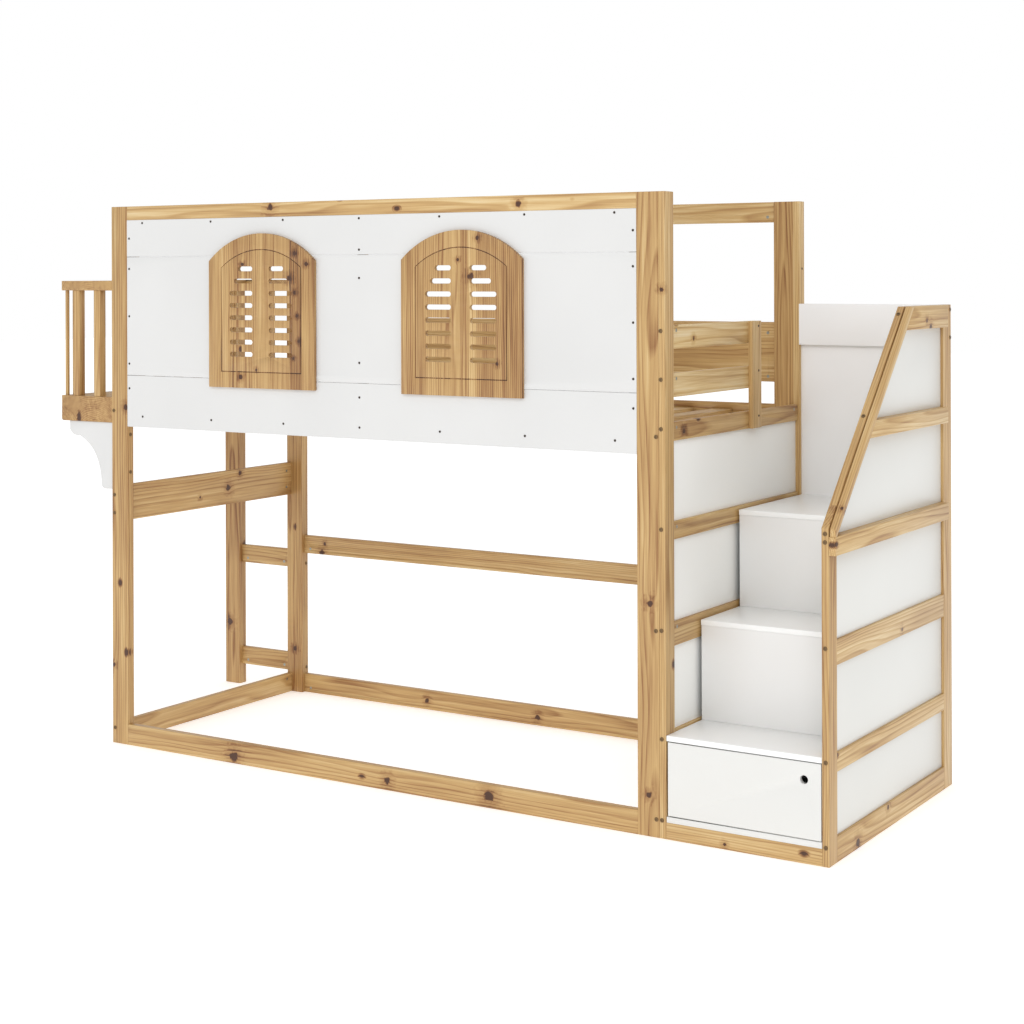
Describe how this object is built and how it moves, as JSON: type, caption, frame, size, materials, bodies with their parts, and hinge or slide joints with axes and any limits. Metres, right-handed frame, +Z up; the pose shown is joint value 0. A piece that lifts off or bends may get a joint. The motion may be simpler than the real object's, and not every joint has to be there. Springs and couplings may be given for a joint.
{
  "type": "loft bed",
  "caption": "Low loft bed in pine with white front panels and arched slotted shutters, a small balcony and a storage staircase with guard frame",
  "frame": {"origin": "middle of the whole footprint, on the floor", "axes": "+X along the bed towards the stairs, +Y from the front wall to the back, +Z up"},
  "size_m": [2.847, 0.962, 1.767],
  "materials": {
    "pine": "clear lacquered knotty pine",
    "shutter_pine": "clear lacquered edge-glued pine strips",
    "white_lacquer": "satin white lacquered fibreboard",
    "dark_bolt": "dark bronze coated steel",
    "zinc": "zinc plated steel"
  },
  "bodies": {
    "bed": {"back_floor_rail": "pine", "back_guard_board": "pine", "back_left_post": "pine", "back_mid_rail": "pine", "back_right_post": "pine", "back_side_rail": "pine", "back_top_rail": "pine", "balcony_bracket": "white_lacquer", "balcony_cleats": "pine", "balcony_floor_boards": "pine", "balcony_handrails": "pine", "balcony_trims": "pine", "balusters": "pine", "barrel_nuts": "zinc", "cabinet_floor": "white_lacquer", "deck_slats": "pine", "door_stop": "white_lacquer", "end_deck_rails": "pine", "end_floor_rails": "pine", "end_guards": "pine", "frame_bolts": "dark_bolt", "front_floor_rail": "pine", "front_left_post": "pine", "front_right_post": "pine", "front_side_rail": "pine", "front_top_rail": "pine", "guard_post": "pine", "inner_back_post": "pine", "inner_front_post": "pine", "inner_side_panels": "white_lacquer", "inner_side_rails": "pine", "inner_slope_board": "pine", "left_shutter": "shutter_pine", "left_wide_rail": "pine", "low_front_panel": "white_lacquer", "middle_front_panel": "white_lacquer", "outer_back_post": "pine", "outer_front_post": "pine", "outer_guard_rail": "pine", "outer_side_panels": "white_lacquer", "outer_side_rails": "pine", "outer_slope_board": "pine", "outer_top_rail": "pine", "outer_upper_rail": "pine", "panel_battens": "pine", "right_mid_rail": "pine", "right_shutter": "shutter_pine", "slat_ledgers": "pine", "small_screws": "dark_bolt", "stair_back_panel": "white_lacquer", "stair_cleats": "white_lacquer", "stair_floor_rails": "pine", "stair_risers": "white_lacquer", "stair_top_board": "white_lacquer", "stair_treads": "white_lacquer", "support_post": "pine", "support_rails": "pine", "top_front_panel": "white_lacquer"},
    "door": {"cabinet_door": "white_lacquer", "door_pins": "zinc"}
  },
  "joints": [
    {"name": "door_hinge", "type": "hinge", "parent": "bed", "child": "door", "pos_m": [0.9415, -0.4615, 0.165], "axis": [0, 0, -1], "range_deg": [0, 100]}
  ]
}
